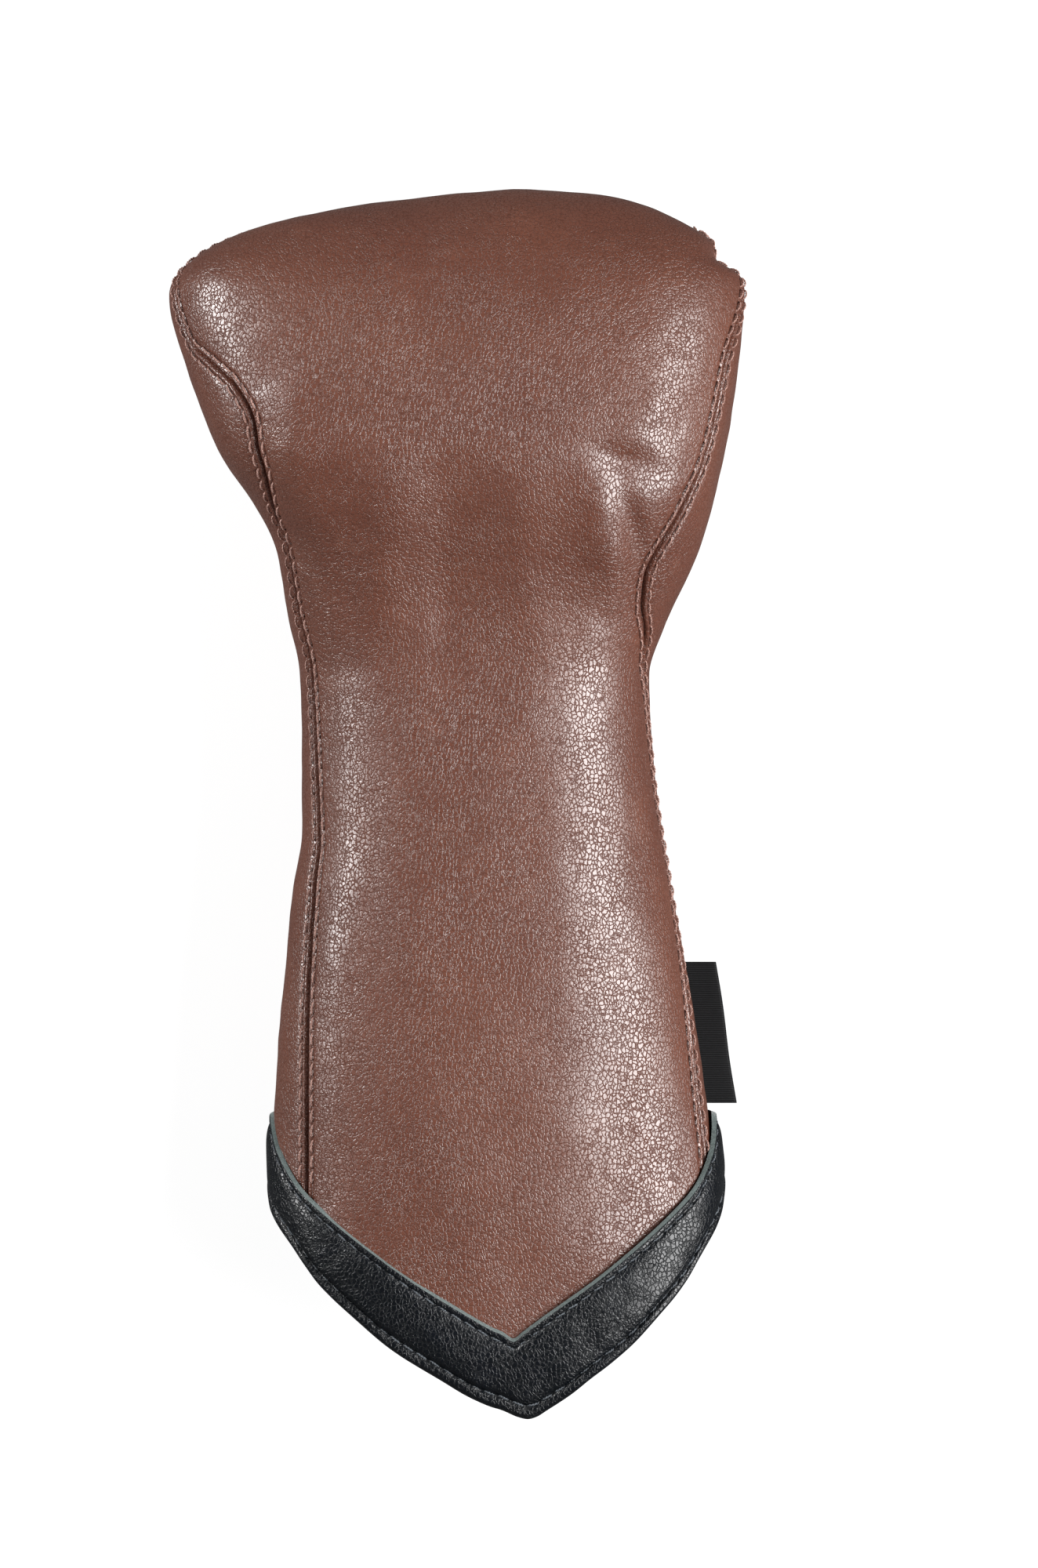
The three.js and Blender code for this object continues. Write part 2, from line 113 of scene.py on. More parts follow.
left_edge = through(
    [
        (-168, -53), (-108, -51.5), (-60, -49.6), (-22, -45.8), (-8, -43.9), (36, -44.4), (52, -47.2),
        (70, -49.6), (80, -54), (97, -65.8), (119, -74.4), (WIDEST, -HALF_CROWN),
    ]
)
right_edge = through(
    [
        (-168, 74), (-108, 72.3), (-60, 65.6), (-22, 59.2), (10, 54.4), (36, 52.6), (49, 56.7),
        (70, 65.6), (86, 70.7), (119, 77.4), (WIDEST, HALF_CROWN),
    ]
)
front_height = through(
    [
        (-200, 52), (-108, 60.5), (-60, 62), (-10, 61), (20, 61.2), (36, 61.8), (50, 64.8), (62, 69.5),
        (72, 74.5), (84, 80.1), (96, 83.3), (DEEPEST, 84),
    ]
)
side_height = through([(-168, 31), (-60, 31), (0, 30), (24, 30.5), (60, 38), (90, 45), (DEEPEST, 46)])
back_height = through([(-110, 3), (-60, 2.8), (0, 4.8), (30, 5), (60, 3), (90, 0), (DEEPEST, -1.2)])

# How boxy the section is: 2 is an ellipse.
squareness = through([(20, 2.35), (95, 3.0)])

# Angle from the side of the cover to each gusset seam, in degrees, against height.
seam_angle = {
    "left_front": through(
        [
            (-168, 36), (-90, 34.6), (0, 28), (35, 25), (75, 20.5), (92, 37), (105, 43), (113, 39.5),
            (119, 31), (124.5, 21), (132, 18), (141, 14), (149, 6), (GUSSET_TOP, 0),
        ]
    ),
    "right_front": through(
        [
            (-168, 22), (-84, 20), (-38, 9.5), (-16, 6.5), (12, 8), (29, 10.5), (42, 19), (54, 36),
            (64, 42), (79, 35), (95, 27), (119, 24), (135, 13), (143, 7), (149, 4), (GUSSET_TOP, 0),
        ]
    ),
    "left_back": through(
        [(-108, 26), (0, 23), (60, 28), (105, 36), (132, 25), (146, 14), (GUSSET_TOP, 0)]
    ),
    "right_back": through(
        [(-108, 33), (0, 32), (60, 40), (105, 43), (132, 28), (146, 15), (GUSSET_TOP, 0)]
    ),
}

# The front hem hangs in a rounded point: share of the drop against the way from tip to side.
hem_fall = through(
    [
        (0, 1), (0.02, 0.991), (0.05, 0.96), (0.104, 0.904), (0.17, 0.828), (0.3, 0.694),
        (0.425, 0.546), (0.552, 0.412), (0.677, 0.267), (0.855, 0.125), (1, 0),
    ]
)
HEM_TIP_TURN = math.radians(84.5)
HEM_DROP = 61.9

# The trim's upper edge hangs in a sharper point of its own.
edge_fall = through(
    [
        (0, 1), (0.02, 0.97), (0.082, 0.885), (0.21, 0.742), (0.36, 0.583), (0.5, 0.45), (0.64, 0.33),
        (0.8, 0.172), (1, 0),
    ]
)
EDGE_TIP_TURN = math.radians(87.3)
EDGE_DROP = 60.3


# ---- The outer surface -----------------------------------------------------------------------------
def signed_power(value, power):
    return np.sign(value) * np.abs(value) ** power


def section(y):
    """The level cut at height y: its centre, half width, middle height, and front and back depths."""
    left, right = left_edge(y), right_edge(y)
    rise = np.clip((y - DEEPEST) / (CROWN_TOP - DEEPEST), 0, 1)
    depth = np.sqrt(1 - rise**2)
    arch = np.sqrt(1 - np.clip((y - WIDEST) / (CROWN_TOP - WIDEST), 0, 1) ** 2)
    middle = side_height(y)
    centre = (left + right) / 2 + CROWN_LEAN * (1 - arch)
    half = (right - left) / 2 * arch
    return centre, half, middle, (front_height(y) - middle) * depth, (middle - back_height(y)) * depth


def shoulder_tuck(y, turn):
    """How far the sharp tuck draws the right side in, where its seam turns over the crown's shoulder."""
    turn = np.arctan2(np.sin(turn), np.cos(turn))
    level = (y - TUCK_HEIGHT) / np.where(y > TUCK_HEIGHT, 4.2, 2.6)
    return TUCK_DEPTH * np.exp(-(level**2) - (turn / 0.5) ** 2)


def surface(y, turn):
    """Points of the outer surface; turn goes round from the right side over the front."""
    y, turn = np.broadcast_arrays(np.asarray(y, float), np.asarray(turn, float))
    centre, half, middle, front, back = section(y)
    square = squareness(y)
    across = signed_power(np.cos(turn), 2 / square)
    up = signed_power(np.sin(turn), 2 / square)
    z = middle + np.where(up > 0, front, back) * up
    x = centre + half * across - shoulder_tuck(y, turn)
    return np.stack([x, y, np.maximum(z, 0)], axis=-1)


def fullness(point):
    """1 on the surface, less inside it."""
    centre, half, middle, front, back = section(point[..., 1])
    half, front, back = (np.maximum(size, 1e-6) for size in (half, front, back))
    across = np.abs(point[..., 0] - centre) / half
    up = point[..., 2] - middle
    square = squareness(point[..., 1])
    return across**square + np.where(up > 0, up / front, -up / back) ** square


def outward(point):
    """Unit normals of the outer surface at points on it."""
    step = np.clip((CROWN_TOP - point[..., 1]) * 0.3, 1e-5, 0.05)
    normal = np.empty_like(point)
    for axis in range(3):
        move = np.zeros_like(point)
        move[..., axis] = step
        normal[..., axis] = fullness(point + move) - fullness(point - move)
    normal /= np.maximum(np.linalg.norm(normal, axis=-1, keepdims=True), 1e-12)
    normal[CROWN_TOP - point[..., 1] < 0.01] = (0, 1, 0)
    normal[point[..., 2] <= 0] = (0, 0, -1)
    return normal


def under(y, turn, depth):
    """Points at a depth under the outer surface."""
    point = surface(y, turn)
    depth = np.broadcast_to(depth, point.shape[:-1])[..., None]
    return point - outward(point) * depth


def turn_of(point):
    """The turn at which points beside the surface lie."""
    centre, half, middle, front, back = section(point[..., 1])
    up = point[..., 2] - middle
    up = up / np.maximum(np.where(up > 0, front, back), 1e-6)
    across = (point[..., 0] - centre) / np.maximum(half, 1e-6)
    square = squareness(point[..., 1])
    return np.arctan2(signed_power(up, square / 2), signed_power(across, square / 2))


def way_from(tip, turn):
    """0 at the tip of an edge, 1 at its sides and round the back."""
    turn = np.arctan2(np.sin(turn), np.cos(turn))
    before = (tip - turn) / tip
    after = (turn - tip) / (math.pi - tip)
    return np.where(turn <= 0, 1.0, np.where(turn < tip, before, after))


def hem_at(turn):
    """Height of the leather's bottom edge."""
    return SIDE_HEM - HEM_DROP * hem_fall(way_from(HEM_TIP_TURN, turn))


def trim_extra(turn):
    """How much taller than at the sides the trim stands, its upper edge being a sharper point."""
    return SIDE_HEM - EDGE_DROP * edge_fall(way_from(EDGE_TIP_TURN, turn)) - hem_at(turn)


LEVEL_FROM = -30.0  # from this height up, rows run level


def row_height(y, turn):
    """Rows follow the hem at the bottom and run level from the skirt up."""
    share = np.clip((LEVEL_FROM - y) / (LEVEL_FROM - SIDE_HEM), 0, 1)
    return y + (hem_at(turn) - SIDE_HEM) * share**1.3


def seam_turn(side, face, y):
    angle = np.radians(seam_angle[f"{side}_{face}"](y))
    if side == "left":
        return math.pi - angle if face == "front" else math.pi + angle
    return angle if face == "front" else -angle


# ---- Seams -----------------------------------------------------------------------------------------
def spaced_evenly(points, step):
    """The same line with points a step apart, and the run of each."""
    run = np.concatenate([[0], np.cumsum(np.linalg.norm(np.diff(points, axis=0), axis=1))])
    count = max(2, int(round(run[-1] / step)) + 1)
    at = np.linspace(0, run[-1], count)
    return np.stack([np.interp(at, run, points[:, i]) for i in range(3)], axis=-1), at


def side_seam(side):
    """A gusset seam from the front hem over the gusset's top to the back hem."""
    heights = SIDE_HEM + (GUSSET_TOP - SIDE_HEM) * np.sin(np.linspace(0, math.pi / 2, 400))
    front = seam_turn(side, "front", heights)
    back = seam_turn(side, "back", heights)
    up = surface(row_height(heights, front), front)
    down = surface(heights, back)[::-1][1:]
    return np.concatenate([up, down])


def crown_seam():
    """The cross seam at the back of the crown, from gusset top to gusset top."""
    turns = np.linspace(math.pi, 2 * math.pi, 300)
    return surface(np.full_like(turns, GUSSET_TOP), turns)


SEAMS = {"left": side_seam("left"), "right": side_seam("right"), "crown": crown_seam()}


class SeamMap:
    """Finds each point's distance to the nearest seam and its run along it."""

    def __init__(self, lines):
        samples = [spaced_evenly(line, 0.4) for line in lines]
        self.points = np.concatenate([points for points, run in samples])
        self.run = np.concatenate([run for points, run in samples])
        self.tree = kdtree.KDTree(len(self.points))
        for i, point in enumerate(self.points):
            self.tree.insert(point, i)
        self.tree.balance()

    def near(self, points):
        flat = points.reshape(-1, 3)
        found = [self.tree.find(point)[1:] for point in flat]
        index = np.array([i for i, distance in found])
        distance = np.array([distance for i, distance in found])
        return distance.reshape(points.shape[:-1]), self.run[index].reshape(points.shape[:-1])


seam_map = SeamMap(SEAMS.values())

# Height of the leather against the distance from a seam: turned edge, ridge, stitch groove.
seam_profile = through(
    [
        (0, -2.0), (0.25, -1.3), (0.6, -0.35), (1.1, 0.1), (1.6, -0.02), (2.1, -0.38), (2.6, -0.12),
        (3.4, 0.12), (5, 0.06), (9, 0),
    ]
)


# ---- Soft unevenness -------------------------------------------------------------------------------
def waves(seed, length, stretch=(1, 1, 1)):
    """A smooth random field of unit size, whose features are about a length across."""
    count = 28
    rng = np.random.default_rng(seed)
    direction = rng.normal(size=(count, 3))
    direction /= np.linalg.norm(direction, axis=1, keepdims=True)
    size = rng.uniform(0.6, 1.5, count) * 2 * math.pi / (2 * length)
    vector = direction * size[:, None] / np.array(stretch)
    phase = rng.uniform(0, 2 * math.pi, count)

    def field(points):
        total = np.zeros(points.shape[:-1])
        for k in range(count):
            total += np.sin(points @ vector[k] + phase[k])
        return total * math.sqrt(2 / count)

    return field


broad_waves = waves(11, 42, stretch=(1, 1.6, 1))
middle_waves = waves(12, 13, stretch=(1, 1.5, 1))
fine_waves = waves(13, 4.5)


def dimple(points, centre, along, across, angle, depth):
    """An oval hollow in the front panel, seen from above, in pattern millimetres."""
    x = points[..., 0] - centre[0]
    y = points[..., 1] - centre[1]
    cos, sin = math.cos(math.radians(angle)), math.sin(math.radians(angle))
    u, v = x * cos + y * sin, -x * sin + y * cos
    return -depth * np.exp(-((u / along) ** 2) - (v / across) ** 2)


# Hollows (positive depth) and swellings (negative) of the front: centre, sizes, angle, depth.
FRONT_SHAPES = [
    ((45, 92), 11, 4.4, -14, 1.9),
    ((53, 107), 11, 5, 48, -0.7),
    ((40, 72), 16, 6.0, -75, -1.6),
    ((48.5, 71), 13, 3.4, -72, 1.3),
    ((0, 104), 24, 8, 82, -0.8),
    ((-2, 64), 34, 6, 88, 1.3),
    ((-18, 72), 36, 6.5, 80, -1.2),
    ((18, 66), 26, 7, 98, -1.0),
    ((-48, 118), 14, 5, 30, 0.6),
]


def leather_relief(points):
    """How far the leather stands from the plain surface at each point, in millimetres."""
    distance, run = seam_map.near(points)
    relief = seam_profile(distance) - 0.7 * np.exp(-((distance / 6.5) ** 2))
    holes = np.cos(2 * math.pi * run / STITCH) * np.exp(-(((distance - ROW_OFFSET) / 1.1) ** 2))
    pull = np.cos(2 * math.pi * run / STITCH + 2.6) * np.exp(-(((distance - 4.4) / 2.2) ** 2))
    relief += -0.14 * holes - 0.07 * pull
    away = 1 - np.exp(-((distance / 7) ** 2))
    relief += away * (0.55 * broad_waves(points) + 0.16 * middle_waves(points))
    relief += 0.035 * fine_waves(points)
    front = np.clip((points[..., 2] - 30) / 12, 0, 1)
    for shape in FRONT_SHAPES:
        relief += front * away * dimple(points, *shape)
    return relief * np.clip((points[..., 2] - 0.2) / 4, 0, 1)


# ---- Meshes ----------------------------------------------------------------------------------------
def new_piece(name, vertices, faces, materials, body="cover"):
    """A smooth-shaded mesh, given in millimetres, that rides on a body."""
    mesh = bpy.data.meshes.new(name)
    mesh.from_pydata((np.asarray(vertices) * MM).tolist(), [], faces)
    mesh.validate()
    mesh.polygons.foreach_set("use_smooth", [True] * len(mesh.polygons))
    for look in materials:
        mesh.materials.append(look)
    piece = bpy.data.objects.new(name, mesh)
    bpy.context.scene.collection.objects.link(piece)
    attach(piece, body)
    return piece


def grid_faces(rows, columns, start=0, flip=False):
    """Quads of a grid of points numbered row by row."""
    faces = []
    for i in range(rows - 1):
        for j in range(columns - 1):
            a = start + i * columns + j
            quad = (a, a + columns, a + columns + 1, a + 1)
            faces.append(quad[::-1] if flip else quad)
    return faces


def tube_faces(count, around, closed):
    """Faces of a tube of rings, joined end to end or capped at both ends."""
    faces = []
    for i in range(count if closed else count - 1):
        n = (i + 1) % count
        for j in range(around):
            k = (j + 1) % around
            faces.append((i * around + j, i * around + k, n * around + k, n * around + j))
    if not closed:
        faces.append(tuple(range(around))[::-1])
        faces.append(tuple((count - 1) * around + j for j in range(around)))
    return faces


def merged(vertices, faces):
    """The same mesh with coinciding points joined and collapsed faces dropped."""
    keys = np.round(np.asarray(vertices) * 2000).astype(np.int64)
    unique, first, inverse = np.unique(keys, axis=0, return_index=True, return_inverse=True)
    inverse = inverse.reshape(-1)
    kept = []
    for face in faces:
        ring = []
        for k in face:
            index = int(inverse[k])
            if not ring or ring[-1] != index:
                ring.append(index)
        if ring[0] == ring[-1]:
            ring.pop()
        if len(ring) >= 3:
            kept.append(tuple(ring))
    return np.asarray(vertices)[first], kept


def wall(outer, inner):
    """A closed wall between two grids of points."""
    rows, columns = outer.shape[:2]
    count = rows * columns
    vertices = np.concatenate([outer.reshape(-1, 3), inner.reshape(-1, 3)])
    faces = grid_faces(rows, columns) + grid_faces(rows, columns, count, flip=True)
    rim = [(0, j) for j in range(columns)]
    rim += [(i, columns - 1) for i in range(1, rows)]
    rim += [(rows - 1, j) for j in range(columns - 2, -1, -1)]
    rim += [(i, 0) for i in range(rows - 2, 0, -1)]
    loop = [i * columns + j for i, j in rim]
    for a, b in zip(loop, loop[1:] + loop[:1]):
        faces.append((a, b, b + count, a + count))
    return merged(vertices, faces)


# ---- Panels ----------------------------------------------------------------------------------------
def eased_steps(length, edge, fine, coarse):
    """Shares from 0 to 1 along a length: fine steps near both ends, coarse between."""
    at = [0.0]
    while at[-1] < length / 2:
        share = min(1, at[-1] / edge)
        at.append(at[-1] + fine + (coarse - fine) * share**2)
    half = np.array(at) / (2 * at[-1])
    return np.concatenate([half[:-1], 1 - half[::-1]])


PANEL_SEAMS = {
    "front": (("right", "front"), ("left", "front")),
    "left": (("left", "front"), ("left", "back")),
    "back": (("left", "back"), ("right", "back")),
    "right": (("right", "back"), ("right", "front")),
}


def panel_turns(which, y, shares, margin):
    """Turns across a panel at each height, drawn back from its seams by a margin."""
    (side_a, face_a), (side_b, face_b) = PANEL_SEAMS[which]
    start, end = seam_turn(side_a, face_a, y), seam_turn(side_b, face_b, y)
    if which == "back":
        end = end + 2 * math.pi
    start, end = np.broadcast_arrays(start, end)
    pace = np.linalg.norm(surface(y, start + 0.01) - surface(y, start - 0.01), axis=-1) / 0.02
    back = np.minimum(margin / np.maximum(pace, 1e-6), (end - start) * 0.45)
    start, end = start + back, end - back
    return start[:, None] + (end - start)[:, None] * shares[None, :]


CROWN_ARCH = math.sqrt(1 - ((GUSSET_TOP - WIDEST) / (CROWN_TOP - WIDEST)) ** 2)


def crown_grid(shares, rows):
    """Heights and turns of the cap: columns that cross the crown from front to back."""
    across = np.cos(math.pi * shares)[None, :]
    forward = np.sqrt(np.maximum(0, 1 - across**2)) * np.cos(math.pi * rows)[:, None]
    across = np.broadcast_to(across, forward.shape)
    arch = np.minimum(1, np.hypot(across, forward)) * CROWN_ARCH
    height = WIDEST + (CROWN_TOP - WIDEST) * np.sqrt(1 - arch**2)
    return height, np.arctan2(forward, across)


def panel_grid(which, low, top, row_step, shares, margin, raise_hem=0.0, crown_rows=None):
    """Heights and turns of every point of a panel."""
    count = int((top - low) / row_step)
    closing = low + (top - low) * np.sin(np.linspace(0, 1, count + 1) * math.pi / 2)
    straight = np.linspace(low, top, count + 1)
    level = 0.55 * straight + 0.45 * closing
    turns = panel_turns(which, level, shares, margin)
    heights = row_height(level[:, None], turns)
    heights = heights + raise_hem * (1 - np.arange(count + 1) / count)[:, None]
    if crown_rows is not None:
        cap_heights, cap_turns = crown_grid(shares, crown_rows)
        heights = np.concatenate([heights, cap_heights[1:]])
        turns = np.concatenate([turns, cap_turns[1:]])
    return heights, turns


EDGE_BAND = 9  # width beside a seam in which the mesh is fine
COARSE_STEP = 1.5
CROWN_RUN = 78  # about how far the cap above the gussets' tops runs from front to back


def leather_panel(name, which, width, look):
    """A leather piece with turned edges, stitch grooves and soft unevenness."""
    shares = eased_steps(width, EDGE_BAND, fine=0.35, coarse=COARSE_STEP)
    crown_rows = None
    top = GUSSET_TOP - 0.15
    if which == "front":
        crown_rows = eased_steps(CROWN_RUN, EDGE_BAND, fine=0.4, coarse=COARSE_STEP)
        top = GUSSET_TOP
    heights, turns = panel_grid(
        which, SIDE_HEM, top, row_step=1.25, shares=shares, margin=0.12, raise_hem=1.2, crown_rows=crown_rows
    )
    base = surface(heights, turns)
    normal = outward(base)
    relief = leather_relief(base)
    outer = base + normal * relief[..., None]
    inner = base + normal * (np.minimum(relief, 0) - LEATHER)[..., None]
    vertices, faces = wall(outer, inner)
    return new_piece(name, vertices, faces, [look])


# ---- Materials -------------------------------------------------------------------------------------
def srgb(red, green, blue):
    """A colour stated as on screen, 0 to 255, as the shader wants it."""
    def linear(value):
        value /= 255
        return value / 12.92 if value <= 0.04045 else ((value + 0.055) / 1.055) ** 2.4

    return (linear(red), linear(green), linear(blue), 1)


class Nodes:
    """A material under construction."""

    def __init__(self, name):
        self.material = bpy.data.materials.new(name)
        self.material.use_nodes = True
        self.tree = self.material.node_tree
        self.shader = self.tree.nodes["Principled BSDF"]
        self.coordinate = self.add("ShaderNodeTexCoord").outputs["Object"]

    def add(self, kind, **settings):
        node = self.tree.nodes.new(kind)
        for key, value in settings.items():
            setattr(node, key, value)
        return node

    def link(self, output, target):
        self.tree.links.new(output, target)

    def noise(self, scale, detail=3.0, roughness=0.5, vector=None, distortion=0.0):
        node = self.add("ShaderNodeTexNoise")
        node.inputs["Scale"].default_value = scale
        node.inputs["Detail"].default_value = detail
        node.inputs["Roughness"].default_value = roughness
        node.inputs["Distortion"].default_value = distortion
        self.link(vector or self.coordinate, node.inputs["Vector"])
        return node.outputs["Fac"]

    def stretched(self, scale):
        node = self.add("ShaderNodeMapping")
        node.inputs["Scale"].default_value = scale
        self.link(self.coordinate, node.inputs["Vector"])
        return node.outputs["Vector"]

    def voronoi(self, scale, vector, feature="DISTANCE_TO_EDGE"):
        node = self.add("ShaderNodeTexVoronoi", feature=feature)
        node.inputs["Scale"].default_value = scale
        node.inputs["Randomness"].default_value = 0.9
        self.link(vector, node.inputs["Vector"])
        return node.outputs["Distance"]

    def math(self, operation, a, b=0.0):
        node = self.add("ShaderNodeMath", operation=operation)
        for socket, value in zip(node.inputs, (a, b)):
            if isinstance(value, (int, float)):
                socket.default_value = value
            else:
                self.link(value, socket)
        return node.outputs[0]

    def ramp(self, value, low, high, start=0.0, end=1.0):
        node = self.add("ShaderNodeMapRange", interpolation_type="SMOOTHSTEP")
        self.link(value, node.inputs["Value"])
        node.inputs["From Min"].default_value = low
        node.inputs["From Max"].default_value = high
        node.inputs["To Min"].default_value = start
        node.inputs["To Max"].default_value = end
        return node.outputs["Result"]

    def mix(self, share, a, b):
        node = self.add("ShaderNodeMix", data_type="RGBA")
        self.link(share, node.inputs["Factor"])
        for socket, value in ((node.inputs[6], a), (node.inputs[7], b)):
            if isinstance(value, tuple):
                socket.default_value = value
            else:
                self.link(value, socket)
        return node.outputs[2]

    def bump(self, height, distance):
        node = self.add("ShaderNodeBump")
        node.inputs["Strength"].default_value = 1.0
        node.inputs["Distance"].default_value = distance
        self.link(height, node.inputs["Height"])
        return node.outputs["Normal"]

    def finish(self, colour, roughness, normal=None):
        self.link(colour, self.shader.inputs["Base Color"])
        if isinstance(roughness, (int, float)):
            self.shader.inputs["Roughness"].default_value = roughness
        else:
            self.link(roughness, self.shader.inputs["Roughness"])
        if normal is not None:
            self.link(normal, self.shader.inputs["Normal"])
        return self.material


GRAIN_DEPTH = 0.15


def leather_look(name, dark, mid, light, crease_shade, roughness, grain, level, coat):
    """Pebbled leather: rounded grains parted by narrow creases, with longer wrinkles among them, and painted
    shade darkening the creases.
    """
    look = Nodes(name)
    bend = look.add("ShaderNodeTexNoise")
    bend.inputs["Scale"].default_value = 1 / (1.9 * MM)
    bend.inputs["Detail"].default_value = 3.0
    look.link(look.coordinate, bend.inputs["Vector"])
    wobble = look.add("ShaderNodeVectorMath", operation="MULTIPLY_ADD")
    look.link(bend.outputs["Color"], wobble.inputs[0])
    wobble.inputs[1].default_value = (1.8 * MM, 1.8 * MM, 1.8 * MM)
    look.link(look.stretched((1.12, 0.9, 1.0)), wobble.inputs[2])
    bent = wobble.outputs["Vector"]
    edges = look.voronoi(1 / (grain * MM), bent)
    pebbles = look.ramp(edges, 0.0, 0.17)
    domes = look.ramp(look.voronoi(1 / (grain * MM), bent, "F1"), 0.0, 0.9, 1.0, 0.0)
    little = look.ramp(look.voronoi(1 / (grain * 0.45 * MM), bent), 0.0, 0.3)
    folds = look.noise(1 / (5.5 * MM), 3.0, 0.55, look.stretched((0.55, 1.25, 1.0)), 0.5)
    wrinkles = look.ramp(look.math("ABSOLUTE", look.math("SUBTRACT", folds, 0.5)), 0.0, 0.035)
    zones = look.ramp(look.noise(1 / (26 * MM), 2.0), 0.42, 0.6)
    presence = look.ramp(look.noise(1 / (15 * MM), 2.0), 0.3, 0.7, 0.6, 1.0)
    height = look.math("ADD", look.math("MULTIPLY", pebbles, 0.55), look.math("MULTIPLY", domes, 0.14))
    height = look.math("ADD", height, look.math("MULTIPLY", little, 0.1))
    height = look.math("MULTIPLY", height, presence)
    height = look.math("ADD", height, look.math("MULTIPLY", look.math("MULTIPLY", wrinkles, zones), 0.4))
    height = look.math("ADD", height, look.math("MULTIPLY", folds, 0.4))
    patches = look.ramp(look.noise(1 / (38 * MM), 3.0), 0.3, 0.7)
    colour = look.mix(patches, dark, mid)
    colour = look.mix(look.ramp(look.noise(1 / (9 * MM), 2.0), 0.5, 0.8, 0.0, 0.6), colour, light)
    # Painted shade: the creases between the grains are darkened towards the crease colour.
    colour = look.mix(look.ramp(edges, 0.0, 0.12, 0.4, 0.0), colour, crease_shade)
    gloss = look.ramp(edges, 0.0, 0.16, roughness + 0.25, roughness)
    gloss = look.math("ADD", gloss, look.math("MULTIPLY", look.noise(1 / (24 * MM), 3.0), 0.08))
    relief = look.bump(height, GRAIN_DEPTH * MM)
    look.link(look.ramp(edges, 0.0, 0.11, 0.3, level), look.shader.inputs["Specular IOR Level"])
    look.link(look.ramp(edges, 0.0, 0.11, 0.0, coat), look.shader.inputs["Coat Weight"])
    look.shader.inputs["Coat Roughness"].default_value = roughness - 0.02
    look.link(relief, look.shader.inputs["Coat Normal"])
    return look.finish(colour, gloss, relief)


def thread_look(name, dark, light):
    """Waxed twisted thread: fine fibres along the ply."""
    look = Nodes(name)
    fibres = look.noise(1 / (0.35 * MM), 3.0)
    colour = look.mix(look.ramp(fibres, 0.3, 0.7), dark, light)
    return look.finish(colour, 0.5, look.bump(fibres, 0.06 * MM))


def cloth_look(name, dark, light, pile, depth):
    """Soft cloth with a short pile."""
    look = Nodes(name)
    tufts = look.noise(1 / (pile * MM), 5.0, 0.7)
    patches = look.noise(1 / (14 * MM), 3.0)
    colour = look.mix(look.ramp(tufts, 0.3, 0.7), dark, light)
    colour = look.mix(look.ramp(patches, 0.4, 0.8, 0.0, 0.3), colour, light)
    look.shader.inputs["Sheen Weight"].default_value = 0.4
    look.shader.inputs["Sheen Roughness"].default_value = 0.5
    return look.finish(colour, 0.95, look.bump(tufts, depth * MM))


RIB_DENSITY = 0.51366  # wave texture scale per millimetre: a rib every 0.61 mm


def ribbon_look(name, dark, light):
    """Ribbed ribbon: fine cords across its length."""
    look = Nodes(name)
    ribs = look.add("ShaderNodeTexWave", wave_type="BANDS", bands_direction="Y", wave_profile="SIN")
    ribs.inputs["Scale"].default_value = RIB_DENSITY / MM
    ribs.inputs["Distortion"].default_value = 0.6
    look.link(look.coordinate, ribs.inputs["Vector"])
    fibres = look.noise(1 / (0.3 * MM), 3.0, 0.6, look.stretched((0.25, 1.0, 1.0)))
    height = look.math("ADD", ribs.outputs["Fac"], look.math("MULTIPLY", fibres, 0.5))
    colour = look.mix(look.ramp(height, 0.3, 1.2), dark, light)
    look.shader.inputs["Specular IOR Level"].default_value = 0.25
    return look.finish(colour, 0.6, look.bump(height, 0.12 * MM))


# Each leather's fourth colour is painted shade for the creases of its grain.
brown_leather = leather_look(
    "brown_leather", srgb(96, 51, 35), srgb(103, 57, 40), srgb(110, 64, 47), srgb(42, 21, 14),
    roughness=0.3, grain=1.15, level=1.0, coat=0.6,
)
black_leather = leather_look(
    "black_leather", srgb(2, 5, 10), srgb(4, 8, 14), srgb(7, 12, 21), srgb(1, 2, 3),
    roughness=0.22, grain=1.2, level=0.55, coat=0.0,
)
raw_edge = cloth_look("raw_leather_edge", srgb(58, 68, 67), srgb(104, 118, 116), 0.5, 0.2)
brown_thread = thread_look("brown_thread", srgb(120, 82, 72), srgb(192, 154, 142))
black_thread = thread_look("black_thread", srgb(48, 52, 58), srgb(108, 114, 120))
fleece = cloth_look("lining_fleece", srgb(38, 34, 33), srgb(66, 61, 59), 0.9, 0.7)
foam = cloth_look("foam", srgb(196, 188, 172), srgb(226, 220, 206), 0.6, 0.25)
elastic_web = ribbon_look("elastic_web", srgb(170, 168, 164), srgb(214, 212, 208))
seam_tape = ribbon_look("seam_tape", srgb(110, 100, 94), srgb(150, 140, 132))
black_ribbon = ribbon_look("black_ribbon", srgb(7, 7, 8), srgb(24, 24, 26))


# ---- Leather ---------------------------------------------------------------------------------------
def leather_panels():
    widths = {"front": 130, "back": 110, "left": 46, "right": 46}
    names = {"front": "front_panel", "back": "back_panel", "left": "left_gusset", "right": "right_gusset"}
    for which, width in widths.items():
        piece = leather_panel(f"leather_{which}", which, width, brown_leather)
        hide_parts(names[which])


# ---- Stitches --------------------------------------------------------------------------------------
def shifted(line, shift):
    """A line on the surface moved sideways over it."""
    along = np.gradient(line, axis=0)
    along /= np.maximum(np.linalg.norm(along, axis=1, keepdims=True), 1e-9)
    across = np.cross(along, outward(line))
    across /= np.maximum(np.linalg.norm(across, axis=1, keepdims=True), 1e-9)
    moved = line + across * shift
    moved[:, 2] = np.maximum(moved[:, 2], 0.05)
    return surface(moved[:, 1], turn_of(moved))


def unit(vectors):
    return vectors / np.linalg.norm(vectors, axis=1, keepdims=True)


